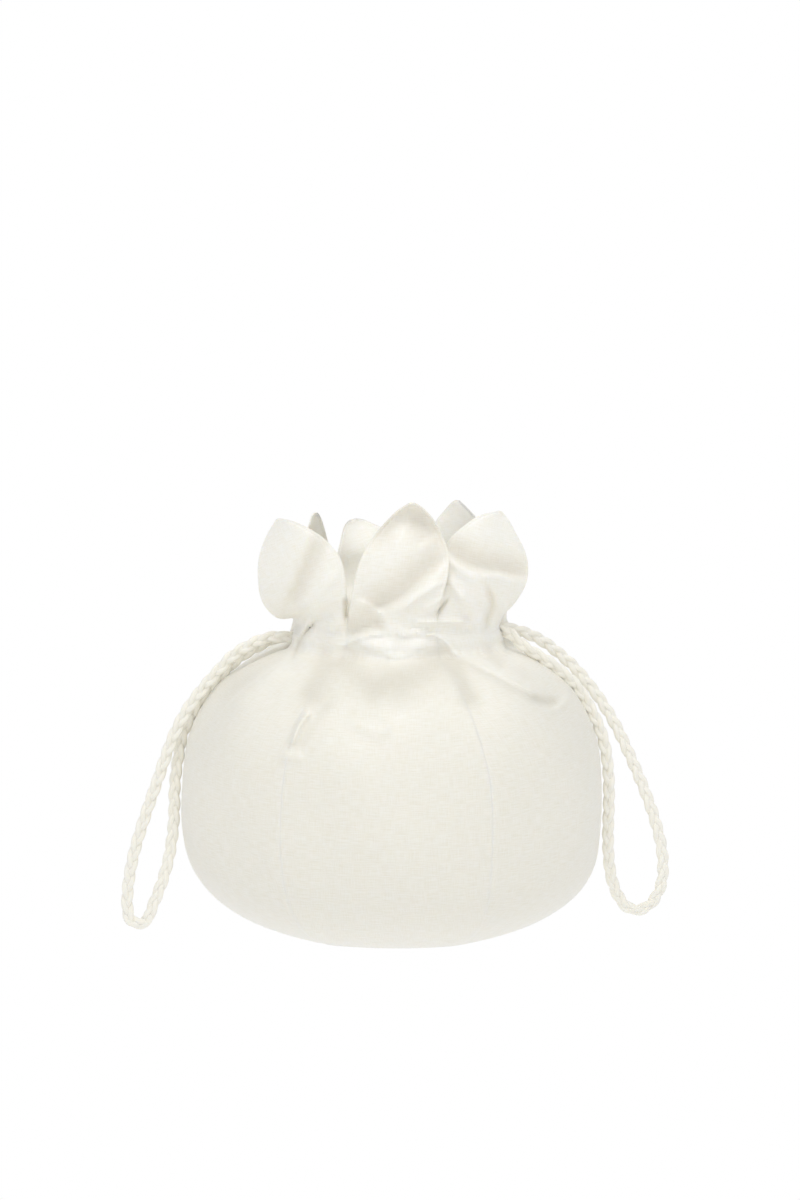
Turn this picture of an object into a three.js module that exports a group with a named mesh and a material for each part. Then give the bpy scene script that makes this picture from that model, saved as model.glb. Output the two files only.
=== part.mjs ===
// Drawstring clutch bag: six satin panels, each ending in a petal, gathered at the neck by
// two braided drawstrings that run round inside a casing and hang out at the sides as loops.
// Millimetres, +Z up. The origin is the middle of the flat base, and the front faces -Y.
import * as THREE from "three";

// Driving dimensions
const WALL = 1.4; // satin, interlining and satin, sewn as one cloth
const SEAM_GAP = 0.3; // left between the edges of two panels along a seam
const COLUMNS = 12; // mesh columns across one panel
const PLEATS = 3; // gathers across one panel at the neck
const PLEAT_DEPTH = 2.9; // from the middle of a gather to its ridge or its valley

const PETAL_WIDEST = 0.3; // share of a petal's height where it is widest

const CORD_DIAMETER = 5;
const CORD_SIDES = 8;
const CORD_RUN_STATIONS = 18;
const CORD_RUN_RADIUS = 42.2; // the cords' middle line inside the casing
const CORD_TURN_RADIUS = 9; // where a cord turns out of the casing through its slit
const CORD_PAIR_HALF = 2.8; // half the distance between the two strands in a slit
const CORD_END_GAP = 0.4; // between the two sewn ends of a cord

const CASING_WALL = 1.2;
const CASING_CLEAR = 0.8; // to the drawstrings
const CASING_SEAT = 0.6; // from its lips to the panels

const IVORY_SATIN = new THREE.MeshStandardMaterial({ color: 0xf6f4ec, roughness: 0.42, metalness: 0 });
const IVORY_BRAID = new THREE.MeshStandardMaterial({ color: 0xf3f0e8, roughness: 0.5, metalness: 0 });

// Seams between neighbouring panels, in order round the bag. Azimuths are degrees from the front
// towards +X: even on the body, and as the gathers fall at the neck. A petal's notch starts at the
// notch height, and slit names the level of the opening that lets a drawstring out.
const SEAMS = [
  { name: "left", body: -90, neck: -90, notch: 157.4, slit: 147 },
  { name: "front_left", body: -30, neck: -29, notch: 164.5, slit: null },
  { name: "front_right", body: 27, neck: 21, notch: 164.5, slit: null },
  { name: "right", body: 90, neck: 79, notch: 158.6, slit: 152.6 },
  { name: "back_right", body: 150, neck: 162, notch: 162, slit: null },
  { name: "back_left", body: 210, neck: 222, notch: 162, slit: null },
  { name: "left", body: 270, neck: 270, notch: 157.4, slit: 147 },
];
const LEFT_SEAM = SEAMS[0];
const RIGHT_SEAM = SEAMS[3];

// Levels up a panel, from the middle of the base to the notches between the petals. Shift is how far
// the level sits to the right of the base, corner how far the panel's middle lies inside its seams,
// pleat the share of the full gather, and gather the share of the way that the seams have moved
// from their even spacing to the neck's.
const LEVELS = [
  { height: 0, radius: 1.2, shift: 0, corner: 0, pleat: 0, gather: 0 },
  { height: 0, radius: 51, shift: 2, corner: 1.5, pleat: 0, gather: 0 },
  { height: 3.4, radius: 67.5, shift: 1.8, corner: 3, pleat: 0, gather: 0 },
  { height: 9.6, radius: 82.2, shift: 1.4, corner: 3.4, pleat: 0, gather: 0 },
  { height: 19, radius: 94, shift: 1.2, corner: 3, pleat: 0, gather: 0 },
  { height: 31, radius: 101.4, shift: 0.8, corner: 2, pleat: 0, gather: 0 },
  { height: 50, radius: 105.6, shift: 0.2, corner: 1.2, pleat: 0, gather: 0 },
  { height: 75, radius: 105.8, shift: 0, corner: 0.6, pleat: 0, gather: 0 },
  { height: 97, radius: 102.4, shift: 0, corner: 0.2, pleat: 0.04, gather: 0.1 },
  { height: 112, radius: 95.8, shift: 0.5, corner: 0, pleat: 0.12, gather: 0.3 },
  { height: 123, radius: 88.4, shift: 1.2, corner: 0, pleat: 0.26, gather: 0.5 },
  { height: 131.5, radius: 79.5, shift: 2, corner: 0, pleat: 0.46, gather: 0.7 },
  { height: 138, radius: 69.5, shift: 2.8, corner: 0, pleat: 0.72, gather: 0.87 },
  { height: 141.5, radius: 61.5, shift: 3.2, corner: 0, pleat: 0.92, gather: 0.96 },
  { height: 144.2, radius: 55, shift: 3.5, corner: 0, pleat: 1, gather: 1 },
  { height: 147, radius: 53.2, shift: 3.5, corner: 0, pleat: 1, gather: 1 },
  { height: 149.8, radius: 53.2, shift: 3.5, corner: 0, pleat: 1, gather: 1 },
  { height: 152.6, radius: 52.6, shift: 3.5, corner: 0, pleat: 1, gather: 1 },
  { height: 155.4, radius: 51.4, shift: 3.5, corner: 0, pleat: 1, gather: 1 },
];
const NOTCH_RADIUS = 52;
const NOTCH_PLEAT = 0.85;
const NECK_SHIFT = LEVELS.at(-1).shift;

// Panels with the pose of each petal. Half is half its width and taper how full it stays below its
// point. Tip is the azimuth of the point and height its height. Tilt is how much higher its right
// edge sits than its middle, and open the share of its height over which it leans out of the neck:
// by middle there and by outward at its point. Left and right are how much further out its edges
// stand than its middle, and furrow is a soft hollow down its length.
const PANELS = [
  { name: "panel_front_left", half: 31, taper: 2.6, tip: -62, height: 210, tilt: 9, open: 0.32,
    middle: 16, outward: 18, left: 2, right: -9, furrow: 2.4 },
  { name: "panel_front", half: 25.5, taper: 2.1, tip: 7, height: 220.5, tilt: -3, open: 0.45,
    middle: 7, outward: 6, left: 1, right: 3, furrow: 1.6 },
  { name: "panel_front_right", half: 34, taper: 2.6, tip: 55, height: 214.5, tilt: -8, open: 0.5,
    middle: 11, outward: 8, left: -10, right: 2, furrow: 2.2 },
  { name: "panel_back_right", half: 30, taper: 2.6, tip: 146, height: 213, tilt: 6, open: 0.45,
    middle: 6, outward: 2, left: 0, right: 0, furrow: 1.6 },
  { name: "panel_back", half: 23, taper: 2.2, tip: 204, height: 203, tilt: -3, open: 0.45,
    middle: 7, outward: 8, left: 0, right: 0, furrow: 1.6 },
  { name: "panel_back_left", half: 24, taper: 2.2, tip: 262, height: 211, tilt: 0, open: 0.45,
    middle: 3, outward: -10, left: 0, right: 0, furrow: 1.4 },
];
const PETAL_ROWS = [0.05, 0.13, 0.26, 0.42, 0.58, 0.73, 0.87, 0.975];

// Soft dents that run down from the gathers: their azimuth at the top and at the end, the heights
// between which they run, and their depth and half-width.
const DENTS = [
  { from: -23, to: -27, top: 147, end: 98, depth: 4.2, half: 7 },
  { from: -13, to: -3, top: 145, end: 110, depth: 4, half: 10 },
  { from: 22, to: 27, top: 147, end: 110, depth: 3.8, half: 8 },
  { from: 33, to: 60, top: 147, end: 111, depth: 3.6, half: 7 },
  { from: -62, to: -58, top: 145, end: 116, depth: 3, half: 9 },
  { from: 118, to: 114, top: 145, end: 104, depth: 3.8, half: 9 },
  { from: 148, to: 142, top: 147, end: 112, depth: 3.6, half: 8 },
  { from: 182, to: 176, top: 145, end: 100, depth: 4, half: 9 },
  { from: 208, to: 206, top: 147, end: 114, depth: 3.4, half: 8 },
  { from: 243, to: 238, top: 145, end: 108, depth: 3.8, half: 9 },
];

const radians = THREE.MathUtils.degToRad;
const lerp = THREE.MathUtils.lerp;
const smooth = THREE.MathUtils.smoothstep;

// Point at an azimuth, a distance from the axis and a height
function polar(azimuth, radius, height, shift) {
  const a = radians(azimuth);
  return new THREE.Vector3(shift + radius * Math.sin(a), -radius * Math.cos(a), height);
}

// Seam-to-seam interpolation: around runs from 0 to 6, one unit for each panel
function betweenSeams(around, column) {
  const wrapped = ((around % PANELS.length) + PANELS.length) % PANELS.length;
  const panel = Math.floor(wrapped);
  const turn = 360 * Math.round((around - wrapped) / PANELS.length);
  const angle = column === "body" || column === "neck" ? turn : 0;
  return lerp(SEAMS[panel][column], SEAMS[panel + 1][column], wrapped - panel) + angle;
}

// Gathers across a panel, -1 in a valley and 1 on a ridge, with a valley at each seam
function gatherWave(around) {
  return -Math.cos(2 * Math.PI * PLEATS * around);
}

// Depth of the dents at an azimuth and height
function dentDepth(azimuth, height, radius) {
  let depth = 0;
  for (const dent of DENTS) {
    const down = (dent.top - height) / (dent.top - dent.end);
    if (down <= 0 || down >= 1) continue;
    const middle = lerp(dent.from, dent.to, down);
    const turn = THREE.MathUtils.euclideanModulo(azimuth - middle + 180, 360) - 180;
    const across = (radians(turn) * radius) / dent.half;
    const along = smooth(down, 0, 0.35) * (1 - smooth(down, 0.45, 1));
    depth += dent.depth * along * Math.exp(-across * across);
  }
  return depth;
}

// Values of the level table between two of its rows
function levelAt(row) {
  const low = Math.min(Math.floor(row), LEVELS.length - 2);
  const mixed = {};
  for (const column of Object.keys(LEVELS[0])) {
    mixed[column] = lerp(LEVELS[low][column], LEVELS[low + 1][column], row - low);
  }
  return mixed;
}

// Outer face of the body and neck
function bodyPoint(around, row) {
  const level = levelAt(row);
  const azimuth = lerp(betweenSeams(around, "body"), betweenSeams(around, "neck"), level.gather);
  const across = 2 * (around - Math.floor(around)) - 1;
  const inward = level.corner * (1 - across * across) + dentDepth(azimuth, level.height, level.radius);
  const radius = level.radius - inward + PLEAT_DEPTH * level.pleat * gatherWave(around);
  return polar(azimuth, radius, level.height, level.shift);
}

// Outer face of a petal: share runs from 0 at its notches to 1 at its point
function petalPoint(panel, across, share) {
  const petal = PANELS[panel];
  const around = panel + (across + 1) / 2;
  const left = SEAMS[panel].neck;
  const right = SEAMS[panel + 1].neck;
  const notchHalf = (radians(right - left) / 2) * NOTCH_RADIUS - SEAM_GAP / 2;
  const past = Math.max(0, (share - PETAL_WIDEST) / (1 - PETAL_WIDEST));
  const widening = smooth(share, 0, PETAL_WIDEST);
  const half = lerp(notchHalf, petal.half, widening) * (1 - Math.pow(past, petal.taper));

  const opened = Math.sin((Math.PI / 2) * Math.pow(Math.min(1, share / petal.open), 0.65));
  const lean = petal.middle * opened + (petal.outward - petal.middle) * smooth(share, petal.open, 1);
  const edge = across < 0 ? petal.left : petal.right;
  const turned = edge * across * across * opened * (1 - past * past);
  const hollow = petal.furrow * Math.exp(-12 * (across + 0.1) * (across + 0.1)) * widening * (1 - past);
  const pleat = PLEAT_DEPTH * NOTCH_PLEAT * Math.pow(1 - share, 4) * gatherWave(around);
  const radius = NOTCH_RADIUS + lean + turned - hollow + pleat;

  const middle = lerp((left + right) / 2, petal.tip, Math.pow(share, 2.5));
  const azimuth = middle + THREE.MathUtils.radToDeg((across * half) / (NOTCH_RADIUS + lean));
  const start = betweenSeams(panel + Math.min(0.999, Math.max(0.001, (across + 1) / 2)), "notch");
  const raised = petal.tilt * across * widening * (1 - past * past);
  return polar(azimuth, radius, lerp(start, petal.height, share) + raised, NECK_SHIFT);
}

// Half of the gap at a seam on one level: wide at the slit of a drawstring
function halfGap(seam, height) {
  if (seam.slit === null) return SEAM_GAP / 2;
  const away = Math.abs(height - seam.slit);
  if (away < 0.1) return CORD_PAIR_HALF + CORD_DIAMETER / 2 + 1.7;
  if (away < 3) return CORD_PAIR_HALF + CORD_DIAMETER / 2 + 0.7;
  return SEAM_GAP / 2;
}

const BODY_ROWS = LEVELS.length;
const ALL_ROWS = BODY_ROWS + 1 + PETAL_ROWS.length;

// Outer face of a whole panel on one of its mesh rows, or between two of them
function panelPoint(panel, across, row) {
  const low = Math.floor(row);
  if (row > low) {
    return panelPoint(panel, across, low).lerp(panelPoint(panel, across, low + 1), row - low);
  }
  if (low >= BODY_ROWS) {
    return petalPoint(panel, across, low === BODY_ROWS ? 0 : PETAL_ROWS[low - BODY_ROWS - 1]);
  }
  return bodyPoint(panel + (across + 1) / 2, low);
}

// Unit normal of the outer face
function panelNormal(panel, across, row) {
  const step = 0.02;
  const below = Math.max(0, row - 0.5);
  const above = Math.min(ALL_ROWS - 1, row + 0.5);
  const sideways = panelPoint(panel, across + step, row).sub(panelPoint(panel, across - step, row));
  const upwards = panelPoint(panel, across, above).sub(panelPoint(panel, across, below));
  return sideways.cross(upwards).normalize();
}

// Closed solid between an outer and an inner grid of points, both as rows of columns
function wallGeometry(outer, inner) {
  const rows = outer.length;
  const columns = outer[0].length;
  const position = [];
  for (const grid of [outer, inner]) {
    for (const line of grid) {
      for (const point of line) position.push(point.x, point.y, point.z);
    }
  }
  const index = [];
  const at = (side, row, column) => (side * rows + row) * columns + column;
  const quad = (a, b, c, d) => index.push(a, b, c, a, c, d);
  for (let row = 0; row < rows - 1; row += 1) {
    for (let column = 0; column < columns - 1; column += 1) {
      quad(at(0, row, column), at(0, row, column + 1), at(0, row + 1, column + 1), at(0, row + 1, column));
      quad(at(1, row, column), at(1, row + 1, column), at(1, row + 1, column + 1), at(1, row, column + 1));
    }
    quad(at(0, row, 0), at(0, row + 1, 0), at(1, row + 1, 0), at(1, row, 0));
    const last = columns - 1;
    quad(at(0, row, last), at(1, row, last), at(1, row + 1, last), at(0, row + 1, last));
  }
  for (let column = 0; column < columns - 1; column += 1) {
    const top = rows - 1;
    quad(at(0, 0, column), at(1, 0, column), at(1, 0, column + 1), at(0, 0, column + 1));
    quad(at(0, top, column), at(0, top, column + 1), at(1, top, column + 1), at(1, top, column));
  }
  const geometry = new THREE.BufferGeometry();
  geometry.setAttribute("position", new THREE.Float32BufferAttribute(position, 3));
  geometry.setIndex(index);
  geometry.computeVertexNormals();
  return geometry;
}

// One panel: its gore of the body, its share of the gathered neck, and its petal
function makePanel(panel) {
  const outer = [];
  const inner = [];
  for (let row = 0; row < ALL_ROWS; row += 1) {
    const body = row < BODY_ROWS;
    const height = body ? LEVELS[row].height : Infinity;
    const arc = panelPoint(panel, 0.02, row).distanceTo(panelPoint(panel, -0.02, row)) / 0.04;
    const low = body ? halfGap(SEAMS[panel], height) / arc : 0;
    const high = body ? halfGap(SEAMS[panel + 1], height) / arc : 0;
    const outerLine = [];
    const innerLine = [];
    for (let column = 0; column <= COLUMNS; column += 1) {
      const across = lerp(-1 + low, 1 - high, column / COLUMNS);
      const point = panelPoint(panel, across, row);
      outerLine.push(point);
      innerLine.push(point.clone().addScaledVector(panelNormal(panel, across, row), -WALL));
    }
    outer.push(outerLine);
    inner.push(innerLine);
  }
  const mesh = new THREE.Mesh(wallGeometry(outer, inner), IVORY_SATIN);
  mesh.name = PANELS[panel].name;
  return mesh;
}

// Row of the level table, with its fraction, at a height above the base
function rowAtHeight(height) {
  let row = 1;
  while (row < LEVELS.length - 2 && LEVELS[row + 1].height < height) row += 1;
  return row + (height - LEVELS[row].height) / (LEVELS[row + 1].height - LEVELS[row].height);
}

// Casing: a channel sewn inside the neck, open towards the panels, that the drawstrings run in
function makeCasing() {
  const reach = CORD_RUN_RADIUS - CORD_DIAMETER / 2 - CASING_CLEAR;
  const floor = LEFT_SEAM.slit - CORD_DIAMETER / 2 - CASING_CLEAR;
  const roof = RIGHT_SEAM.slit + CORD_DIAMETER / 2 + CASING_CLEAR;
  const innerRadius = (around, height) => {
    const row = rowAtHeight(height);
    const point = bodyPoint(around, row);
    const panel = Math.floor(around) % PANELS.length;
    const normal = panelNormal(panel, 2 * (around - Math.floor(around)) - 1, row);
    const outward = Math.max(0.3, Math.hypot(normal.x, normal.y));
    const radius = Math.hypot(point.x - levelAt(row).shift, point.y);
    return radius - (WALL + CASING_SEAT) / outward;
  };
  const lip = (around, height) => {
    const beside = [0, 0.05, PANELS.length - 0.05];
    return Math.min(...beside.map((step) => innerRadius((around + step) % PANELS.length, height)));
  };
  const columns = COLUMNS * PANELS.length;
  const section = [];
  for (let column = 0; column < columns; column += 1) {
    const around = column / COLUMNS;
    const corners = [
      [lip(around, floor), floor],
      [reach, floor],
      [reach, roof],
      [lip(around, roof), roof],
      [lip(around, roof + CASING_WALL), roof + CASING_WALL],
      [reach - CASING_WALL, roof + CASING_WALL],
      [reach - CASING_WALL, floor - CASING_WALL],
      [lip(around, floor - CASING_WALL), floor - CASING_WALL],
    ];
    const azimuth = betweenSeams(around, "neck");
    section.push(corners.map(([radius, height]) => polar(azimuth, radius, height, NECK_SHIFT)));
  }
  const position = section.flat().flatMap((point) => [point.x, point.y, point.z]);
  const size = section[0].length;
  const index = [];
  for (let column = 0; column < columns; column += 1) {
    const next = (column + 1) % columns;
    for (let corner = 0; corner < size; corner += 1) {
      const after = (corner + 1) % size;
      const a = column * size + corner;
      const b = next * size + corner;
      const c = next * size + after;
      const d = column * size + after;
      index.push(a, b, c, a, c, d);
    }
  }
  const geometry = new THREE.BufferGeometry();
  geometry.setAttribute("position", new THREE.Float32BufferAttribute(position, 3));
  geometry.setIndex(index);
  geometry.computeVertexNormals();
  const mesh = new THREE.Mesh(geometry, IVORY_SATIN);
  mesh.name = "casing";
  return mesh;
}

// Free loop of each drawstring, from its slit over the shoulder, down the side and back up
const LEFT_LOOP = [
  [-46.5, -2.8, 147], [-53, -2.9, 147.6], [-60, -3.6, 147.8], [-66, -4.4, 146.2], [-73, -5.4, 143],
  [-80, -6.2, 138.4], [-87, -6.8, 131], [-93, -7.2, 124.2], [-99, -7.6, 116.6], [-104, -7.8, 109],
  [-109.2, -8, 98.6], [-113.8, -8, 86.6], [-118, -8, 74.4], [-122.4, -8, 62], [-126.4, -8, 49.8],
  [-129.9, -8, 37.6], [-132.2, -8, 25.6], [-133.2, -8, 15.6], [-132.9, -8, 8.8], [-131.4, -8, 4.6],
  [-127.4, -8, 2.9], [-123.4, -7.9, 4.6], [-121.6, -7.6, 8.8], [-119, -7, 15.2], [-115.4, -6, 24.8],
  [-112.4, -4.6, 35.6], [-110.4, -3, 47.8], [-109.6, -1.4, 60], [-109.3, -0.2, 72], [-108.2, 0.4, 82],
  [-106.6, 0.6, 91.6], [-105.7, 0.6, 96.6], [-103.8, 0.6, 101.6], [-99, 0.6, 111.2], [-93, 0.6, 120.2],
  [-85.6, 0.8, 128.4], [-77.4, 1.4, 136.2], [-68.4, 2, 141.8], [-60, 2.5, 146], [-53, 2.8, 147.2],
  [-46.5, 2.8, 147],
];
const RIGHT_LOOP = [
  [53.1, -6.8, 152.6], [58, -6.4, 152.4], [63, -4.6, 151.2], [68.4, -1.6, 149], [73.6, 1.4, 146.2],
  [79, 4, 142.4], [85.2, 6, 137.2], [92, 7.4, 130.8], [98.4, 8.2, 123.2], [104, 8.8, 115.8],
  [109.6, 9.4, 107], [114.8, 9.8, 97.4], [119.8, 10, 86.6], [124.6, 10.2, 75.6], [129, 10.2, 64.6],
  [132.8, 10.2, 53.6], [135.8, 10.2, 42.6], [137.4, 10.2, 31.4], [137, 10.2, 21], [134, 10.2, 12.8],
  [129.6, 10.2, 7.8], [124.4, 10.2, 6], [119.2, 10, 7.8], [115.4, 9.6, 12.4], [112.4, 9, 19],
  [110.4, 8, 27.6], [109.4, 6.6, 38.4], [109.2, 5, 50], [109.4, 3.4, 62], [109.2, 1.8, 73.4],
  [108.4, 0.2, 83], [106.8, -1.2, 92.6], [104, -2.8, 102], [99.6, -4.6, 111.4], [94.4, -6.8, 120.6],
  [91.4, -8, 124.8], [87.4, -9.4, 128.6], [79.8, -12, 135.2], [72.2, -13.8, 140.4], [65.8, -14.8, 144.4],
  [61.4, -14.8, 148.4], [57.4, -13.8, 151.6], [52, -12.2, 152.6],
];

// Middle line of a drawstring: its free loop, in through its slit, one turn round the neck inside
// the casing, and out again to its start, where its two ends are sewn together
function cordPoints(loop, seam) {
  const points = loop.map(([x, y, z]) => new THREE.Vector3(x, y, z));
  const slit = radians(seam.neck);
  const outward = new THREE.Vector3(Math.sin(slit), -Math.cos(slit), 0);
  const sideways = new THREE.Vector3(Math.cos(slit), Math.sin(slit), 0);
  const centre = new THREE.Vector3(NECK_SHIFT, 0, seam.slit);
  const turnCentre = CORD_PAIR_HALF + CORD_TURN_RADIUS;
  const start = Math.hypot(points[0].x - NECK_SHIFT, points[0].y);
  const turn = (degrees, way) => {
    const angle = radians(degrees);
    const out = start - CORD_END_GAP - CORD_TURN_RADIUS * Math.sin(angle);
    const aside = turnCentre - CORD_TURN_RADIUS * Math.cos(angle);
    return centre.clone().addScaledVector(outward, out).addScaledVector(sideways, way * aside);
  };
  points.push(turn(35, -1), turn(65, -1));
  const first = THREE.MathUtils.radToDeg(turnCentre / CORD_RUN_RADIUS) + 1;
  for (let i = 0; i <= CORD_RUN_STATIONS; i += 1) {
    const azimuth = seam.neck - lerp(first, 360 - first, i / CORD_RUN_STATIONS);
    points.push(polar(azimuth, CORD_RUN_RADIUS, seam.slit, NECK_SHIFT));
  }
  points.push(turn(65, 1), turn(35, 1), turn(0, 1));
  return points;
}

// Round bar along a line, with a section carried along without twist and a flat cap at each end
function makeCord(name, loop, seam) {
  const points = cordPoints(loop, seam);
  const last = points.length - 1;
  const position = [];
  const index = [];
  let across = new THREE.Vector3(0, 1, 0);
  points.forEach((point, i) => {
    const along = new THREE.Vector3();
    along.subVectors(points[Math.min(last, i + 1)], points[Math.max(0, i - 1)]).normalize();
    across = across.addScaledVector(along, -across.dot(along)).normalize();
    const other = new THREE.Vector3().crossVectors(along, across);
    for (let k = 0; k < CORD_SIDES; k += 1) {
      const angle = (2 * Math.PI * k) / CORD_SIDES;
      const out = across.clone().multiplyScalar(Math.cos(angle)).addScaledVector(other, Math.sin(angle));
      position.push(...out.multiplyScalar(CORD_DIAMETER / 2).add(point).toArray());
    }
  });
  for (let k = 0; k < CORD_SIDES; k += 1) {
    const next = (k + 1) % CORD_SIDES;
    for (let i = 0; i < last; i += 1) {
      const here = i * CORD_SIDES;
      const there = here + CORD_SIDES;
      index.push(here + k, here + next, there + next, here + k, there + next, there + k);
    }
  }
  const end = last * CORD_SIDES;
  for (let k = 1; k < CORD_SIDES - 1; k += 1) {
    index.push(0, k + 1, k, end, end + k, end + k + 1);
  }
  const geometry = new THREE.BufferGeometry();
  geometry.setAttribute("position", new THREE.Float32BufferAttribute(position, 3));
  geometry.setIndex(index);
  geometry.computeVertexNormals();
  const mesh = new THREE.Mesh(geometry, IVORY_BRAID);
  mesh.name = name;
  return mesh;
}

const bag = new THREE.Group();
for (let panel = 0; panel < PANELS.length; panel += 1) bag.add(makePanel(panel));
bag.add(makeCasing());
bag.add(makeCord("cord_left", LEFT_LOOP, LEFT_SEAM));
bag.add(makeCord("cord_right", RIGHT_LOOP, RIGHT_SEAM));

export default bag;
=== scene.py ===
# %% [markdown]
# A petal-topped satin drawstring bag.
# Six gores of ivory satin are sewn side by side into a round pouch. Each gore runs on above the
# gathered neck as a lined petal. Two plaited satin drawstrings run round inside a casing at the neck
# and hang out at the sides as loops. This lesson dresses the plain CAD frame of that bag: first the
# camera and the drawstrings, then the cloth with its folds, the casing, the finishes and the light.

# %% Load the frame
import math

import bpy
import numpy as np
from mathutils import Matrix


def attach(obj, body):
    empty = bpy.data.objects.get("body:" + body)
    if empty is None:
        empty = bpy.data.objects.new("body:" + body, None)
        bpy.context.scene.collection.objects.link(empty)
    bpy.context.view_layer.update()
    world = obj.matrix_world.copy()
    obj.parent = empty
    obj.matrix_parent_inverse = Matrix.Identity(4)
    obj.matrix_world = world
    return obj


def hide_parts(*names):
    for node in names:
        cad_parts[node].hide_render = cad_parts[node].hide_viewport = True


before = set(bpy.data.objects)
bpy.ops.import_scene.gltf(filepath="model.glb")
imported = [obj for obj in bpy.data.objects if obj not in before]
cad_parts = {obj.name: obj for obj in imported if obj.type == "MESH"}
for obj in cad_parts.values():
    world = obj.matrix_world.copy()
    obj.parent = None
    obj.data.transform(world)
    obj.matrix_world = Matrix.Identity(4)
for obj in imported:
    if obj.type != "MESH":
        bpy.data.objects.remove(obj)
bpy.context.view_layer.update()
bpy.ops.object.select_all(action="DESELECT")
MM = 0.001
print("CAD nodes:", sorted(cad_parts))

# %% [markdown]
# The camera.
# The bag was photographed from a little above its middle, from far enough away that the base looks
# almost straight. A long lens at 1.8 m gives that. The same numbers also carry a line that was
# measured on the photograph to the cloth, so they are kept as names and used again for the folds.

# %% Camera at the photograph's viewing angle
CAMERA_DISTANCE = 1800
CAMERA_RISE = math.radians(7)
CAMERA_AIM = np.array((4.0, 0.0, 166.0))
LENS = 108
SENSOR = 36
PHOTO_WIDTH = 800
PHOTO_HEIGHT = 1200
FOCAL = LENS / SENSOR * PHOTO_HEIGHT

camera_back = np.array((0, -math.cos(CAMERA_RISE), math.sin(CAMERA_RISE)))
camera_up = np.array((0, math.sin(CAMERA_RISE), math.cos(CAMERA_RISE)))
camera_eye = CAMERA_AIM + CAMERA_DISTANCE * camera_back
bpy.ops.object.camera_add(location=camera_eye * MM, rotation=(math.pi / 2 - CAMERA_RISE, 0, 0))
camera = bpy.context.object
camera.data.lens = LENS
camera.data.sensor_width = SENSOR
bpy.context.scene.camera = camera


def to_photo(points):
    """Pixel of the photograph in which each point, in millimetres, is seen."""
    offset = points - camera_eye
    scale = FOCAL / -(offset @ camera_back)
    across = PHOTO_WIDTH / 2 + offset[..., 0] * scale
    down = PHOTO_HEIGHT / 2 - (offset @ camera_up) * scale
    return np.stack((across, down), axis=-1)


def from_photo(pixels, y):
    """Points, in millimetres, that are seen in the given pixels and lie at the given Y."""
    ahead = y - camera_eye[1]
    tilt = (PHOTO_HEIGHT / 2 - pixels[..., 1]) / FOCAL
    cosine = math.cos(CAMERA_RISE)
    sine = math.sin(CAMERA_RISE)
    rise = ahead * (tilt * cosine - sine) / (cosine + tilt * sine)
    across = (pixels[..., 0] - PHOTO_WIDTH / 2) * (ahead * cosine - rise * sine) / FOCAL
    return np.stack((camera_eye[0] + across, y, camera_eye[2] + rise), axis=-1)


print("camera at", [round(v, 3) for v in camera.location])

# %% [markdown]
# The drawstrings.
# Each one is a flat plait of three soft satin strips, about 5 mm wide. A plain tube with a bump would
# look like wire, so the three strips are modelled. In a plait, each strip swings from side to side
# and passes over and under the other two twice as often as it swings. Two sine waves do exactly that.
# The three strips are a third of a swing apart, and press into each other where they cross, as soft
# cloth does. The route is the CAD drawstring's own: out of the slit, over the shoulder, down and up
# again, back in, and once round the neck inside the casing.

# %% Routes of the drawstrings
NECK_SHIFT = 3.5
CORD_RUN_RADIUS = 42.2
CORD_RUN_STATIONS = 18
CORD_TURN_RADIUS = 9.0
CORD_PAIR_HALF = 2.8
CORD_END_GAP = 0.4
LEFT_SLIT = (-90.0, 147.0)
RIGHT_SLIT = (79.0, 152.6)
LEFT_LOOP = [
    (-46.5, -2.8, 147), (-53, -2.9, 147.6), (-60, -3.6, 147.8), (-66, -4.4, 146.2),
    (-73, -5.4, 143), (-80, -6.2, 138.4), (-87, -6.8, 131), (-93, -7.2, 124.2),
    (-99, -7.6, 116.6), (-104, -7.8, 109), (-109.2, -8, 98.6), (-113.8, -8, 86.6),
    (-118, -8, 74.4), (-122.4, -8, 62), (-126.4, -8, 49.8), (-129.9, -8, 37.6),
    (-132.2, -8, 25.6), (-133.2, -8, 15.6), (-132.9, -8, 8.8), (-131.4, -8, 4.6),
    (-127.4, -8, 2.9), (-123.4, -7.9, 4.6), (-121.6, -7.6, 8.8), (-119, -7, 15.2),
    (-115.4, -6, 24.8), (-112.4, -4.6, 35.6), (-110.4, -3, 47.8), (-109.6, -1.4, 60),
    (-109.3, -0.2, 72), (-108.2, 0.4, 82), (-106.6, 0.6, 91.6), (-105.7, 0.6, 96.6),
    (-103.8, 0.6, 101.6), (-99, 0.6, 111.2), (-93, 0.6, 120.2), (-85.6, 0.8, 128.4),
    (-77.4, 1.4, 136.2), (-68.4, 2, 141.8), (-60, 2.5, 146), (-53, 2.8, 147.2), (-46.5, 2.8, 147),
]
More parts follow.
